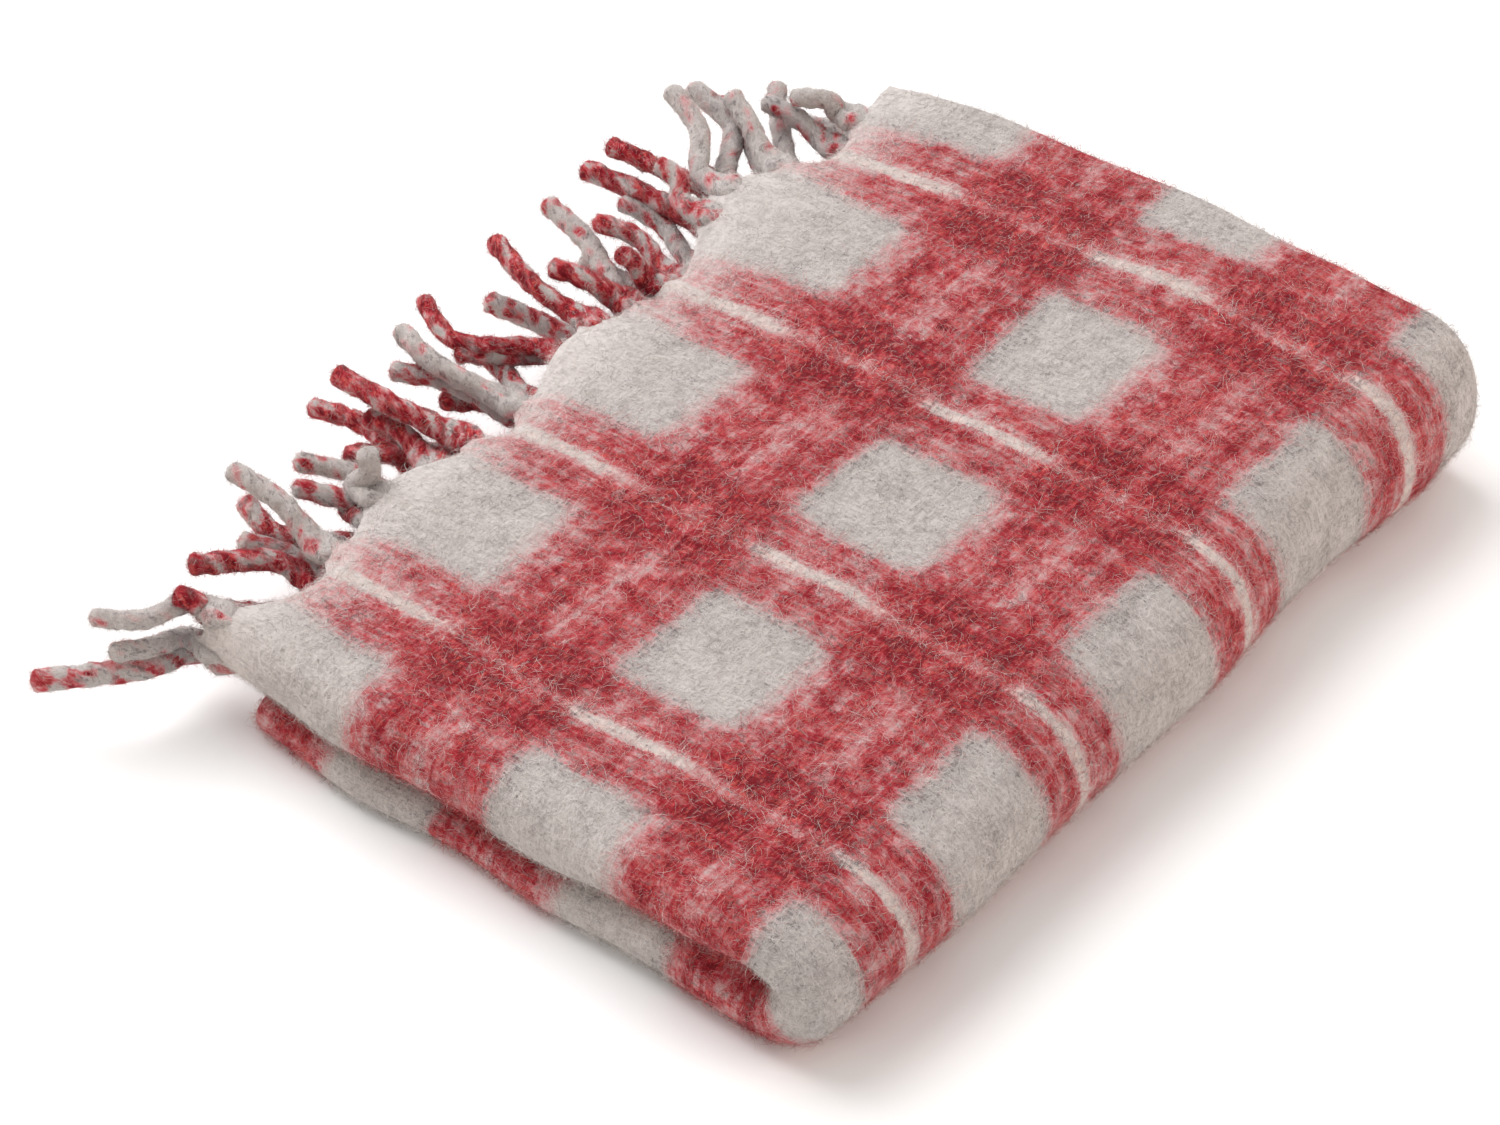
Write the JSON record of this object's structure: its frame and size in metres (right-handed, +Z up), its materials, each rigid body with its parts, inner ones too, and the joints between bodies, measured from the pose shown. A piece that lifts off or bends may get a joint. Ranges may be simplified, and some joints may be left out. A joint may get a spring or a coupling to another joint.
{
  "type": "folded throw blanket",
  "caption": "Brushed plaid throw folded crosswise, lengthwise and crosswise over a round bend, with twisted tassels out of the upper half.",
  "frame": {"origin": "centre of the folded cloth's resting face", "axes": "+X towards the round bend, +Y towards the selvedges, +Z up out of the resting face"},
  "size_m": [0.573, 0.7304, 0.1045],
  "materials": {
    "cloth": "matte",
    "fringe": "matte"
  },
  "bodies": {
    "lower_half": {"lower_outer_wrap": "cloth", "lower_inner_wrap": "cloth", "lower_end_fold": "cloth", "bend_outer_wrap": "cloth", "bend_inner_wrap": "cloth"},
    "upper_half": {"upper_outer_wrap": "cloth", "upper_inner_wrap": "cloth", "tassel_01": "fringe", "tassel_02": "fringe", "tassel_03": "fringe", "tassel_04": "fringe", "tassel_05": "fringe", "tassel_06": "fringe", "tassel_07": "fringe", "tassel_08": "fringe", "tassel_09": "fringe", "tassel_10": "fringe", "tassel_11": "fringe", "tassel_12": "fringe", "tassel_13": "fringe", "tassel_14": "fringe", "tassel_15": "fringe", "tassel_16": "fringe", "tassel_17": "fringe", "tassel_18": "fringe", "tassel_19": "fringe", "tassel_20": "fringe", "tassel_21": "fringe", "tassel_22": "fringe", "tassel_23": "fringe", "tassel_24": "fringe", "tassel_25": "fringe", "tassel_26": "fringe", "tassel_27": "fringe", "tassel_28": "fringe", "tassel_29": "fringe", "tassel_30": "fringe", "tassel_31": "fringe", "tassel_32": "fringe", "tassel_33": "fringe", "tassel_34": "fringe", "tassel_35": "fringe", "tassel_36": "fringe", "tassel_37": "fringe", "tassel_38": "fringe", "tassel_39": "fringe", "tassel_40": "fringe", "tassel_41": "fringe", "tassel_42": "fringe"}
  },
  "joints": [
    {"name": "spine_fold", "type": "hinge", "parent": "lower_half", "child": "upper_half", "pos_m": [0.1773, 0, 0.0477], "axis": [0, 1, 0], "range_deg": [0, 178], "deforming": ["bend_outer_wrap", "bend_inner_wrap"]}
  ]
}
